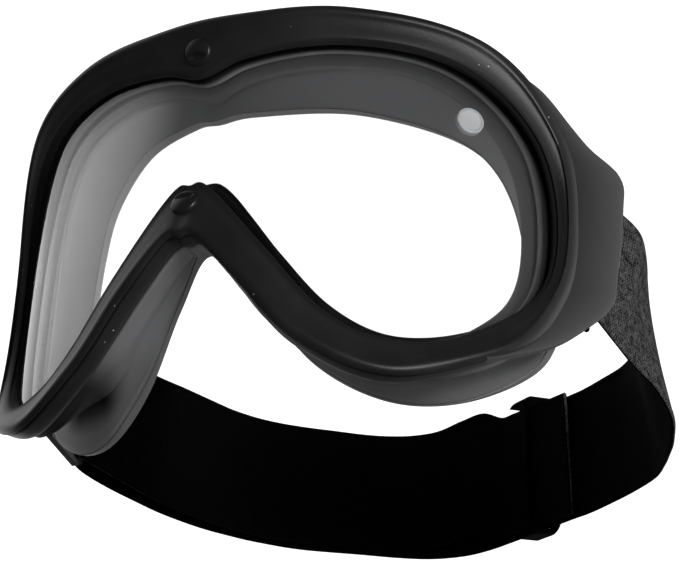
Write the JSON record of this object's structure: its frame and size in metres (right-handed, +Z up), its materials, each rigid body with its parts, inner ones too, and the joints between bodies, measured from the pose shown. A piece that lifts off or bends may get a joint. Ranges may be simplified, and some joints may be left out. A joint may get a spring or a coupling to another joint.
{
  "type": "tactical goggles",
  "caption": "Wide wraparound goggles with a double cylindrical lens, a vented frame, a moulded face skirt with cushion and a pivoting elastic strap with a slider.",
  "frame": {"origin": "middle of the goggles' footprint on the table, under the centre of the bounding box", "axes": "+Z up, -Y the way the lens faces, +X the wearer's left"},
  "size_m": [0.188, 0.219, 0.1046],
  "materials": {
    "frame": "matte",
    "outer_lens": "clear, faint smoke",
    "spacer_foam": "matte foam",
    "inner_lens": "clear",
    "retainer": "matte",
    "valve": "satin",
    "studs": "gloss",
    "skirt": "matte",
    "cushion": "fleece",
    "vent_foam": "open foam",
    "pins": "matte",
    "clips": "matte",
    "webbing": "woven elastic",
    "slider": "satin"
  },
  "bodies": {
    "goggles": {"front_frame": "frame", "lens_outer": "outer_lens", "lens_spacer": "spacer_foam", "lens_inner": "inner_lens", "lens_retainer": "retainer", "pressure_valve": "valve", "brow_stud": "studs", "nose_stud": "studs", "face_skirt": "skirt", "face_cushion": "cushion", "brow_foam_left": "vent_foam", "brow_foam_right": "vent_foam", "cheek_foam_left": "vent_foam", "cheek_foam_right": "vent_foam", "pivot_pin_left": "pins", "pivot_pin_right": "pins"},
    "strap": {"strap_clip_left": "clips", "strap_clip_right": "clips", "strap_band": "webbing"},
    "slider": {"strap_slider": "slider"}
  },
  "joints": [
    {"name": "strap_swing", "type": "hinge", "parent": "goggles", "child": "strap", "pos_m": [0, -0.04771, 0.04395], "axis": [1, 0, 0], "range_deg": [-8, 30]},
    {"name": "slider_slide", "type": "slide", "parent": "strap", "child": "slider", "axis": [0.7804, -0.6252, 0], "range_m": [-0.004, 0.004]}
  ]
}
